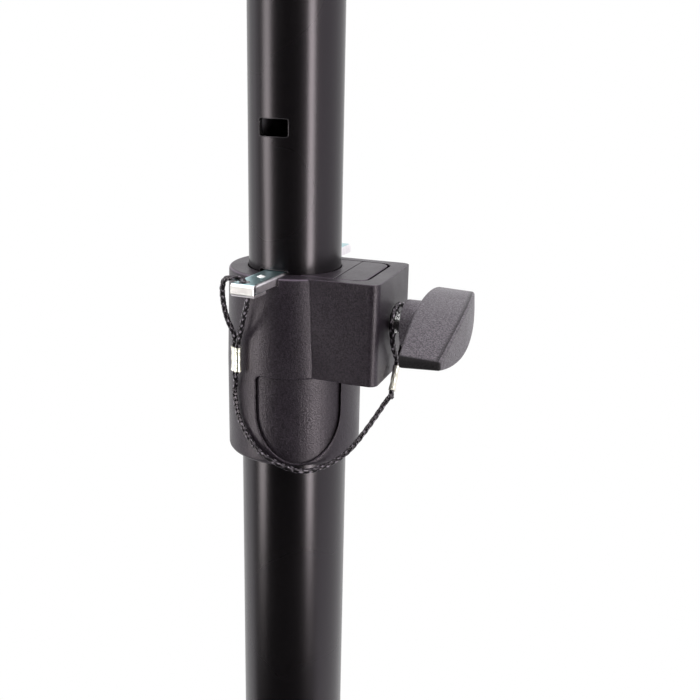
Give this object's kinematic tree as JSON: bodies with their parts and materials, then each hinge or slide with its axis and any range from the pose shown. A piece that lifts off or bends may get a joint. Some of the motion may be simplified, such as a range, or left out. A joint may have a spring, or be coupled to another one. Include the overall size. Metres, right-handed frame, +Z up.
{
  "type": "studio monitor stand",
  "caption": "Floor stand for a studio monitor: flat base, telescoping round tubes, clamp housing with wing knob, safety pin on a lanyard, padded top plate.",
  "frame": {"origin": "on the floor, under the middle of the base", "axes": "+Z up along the tubes, +X towards the clamp's knob, -Y towards the safety pin's hooked end"},
  "size_m": [0.45, 0.45, 1.2189],
  "materials": {
    "black_powder_coat": "satin",
    "black_steel_plate": "satin",
    "charcoal_plastic": "fine texture",
    "grey_plastic": "spark texture",
    "black_rubber": "matt",
    "white_nylon": "satin",
    "dark_steel": "black oxide",
    "zinc_plate": "bright zinc plate",
    "silver_aluminium": "bright",
    "black_cord": "glossy braid"
  },
  "bodies": {
    "root": {"base_plate": "black_steel_plate", "foot_1": "black_rubber", "foot_2": "black_rubber", "foot_3": "black_rubber", "foot_4": "black_rubber", "foot_screw_1": "zinc_plate", "foot_screw_2": "zinc_plate", "foot_screw_3": "zinc_plate", "foot_screw_4": "zinc_plate", "tube_flange": "black_steel_plate", "flange_bolt_1": "zinc_plate", "flange_bolt_2": "zinc_plate", "flange_bolt_3": "zinc_plate", "flange_bolt_4": "zinc_plate", "lower_tube": "black_powder_coat", "clamp_housing": "charcoal_plastic", "threaded_insert": "dark_steel", "housing_screw": "zinc_plate", "lanyard": "black_cord", "ferrule_knob_end": "silver_aluminium"},
    "upper": {"upper_tube": "black_powder_coat", "guide_bush": "white_nylon", "plate_socket": "black_powder_coat", "socket_screw": "zinc_plate", "top_plate": "black_steel_plate", "plate_screw_1": "zinc_plate", "plate_screw_2": "zinc_plate", "plate_screw_3": "zinc_plate", "plate_screw_4": "zinc_plate", "plate_pad_1": "black_rubber", "plate_pad_2": "black_rubber", "plate_pad_3": "black_rubber", "plate_pad_4": "black_rubber"},
    "shoe": {"pressure_shoe": "charcoal_plastic"},
    "knob": {"knob_stud": "zinc_plate", "knob_grip": "grey_plastic"},
    "pin": {"safety_pin": "zinc_plate", "ferrule_pin_end": "silver_aluminium"}
  },
  "joints": [
    {"name": "height", "type": "slide", "parent": "root", "child": "upper", "axis": [0, 0, 1], "range_m": [-0.1569, 0.1569]},
    {"name": "shoe_slide", "type": "slide", "parent": "root", "child": "shoe", "axis": [1, 0, 0], "range_m": [0, 0.00075]},
    {"name": "knob_turn", "type": "hinge", "parent": "shoe", "child": "knob", "pos_m": [0.045, 0, 0.8423], "axis": [1, 0, 0], "range_deg": [0, 216.5]},
    {"name": "pin_slide", "type": "slide", "parent": "root", "child": "pin", "axis": [-0.0628, -0.998, 0], "range_m": [0, 0.065], "deforming": ["lanyard"]}
  ],
  "couplings": [
    {"joint": "knob_turn", "follows": "shoe_slide", "rad_per_m": 5026.5}
  ]
}
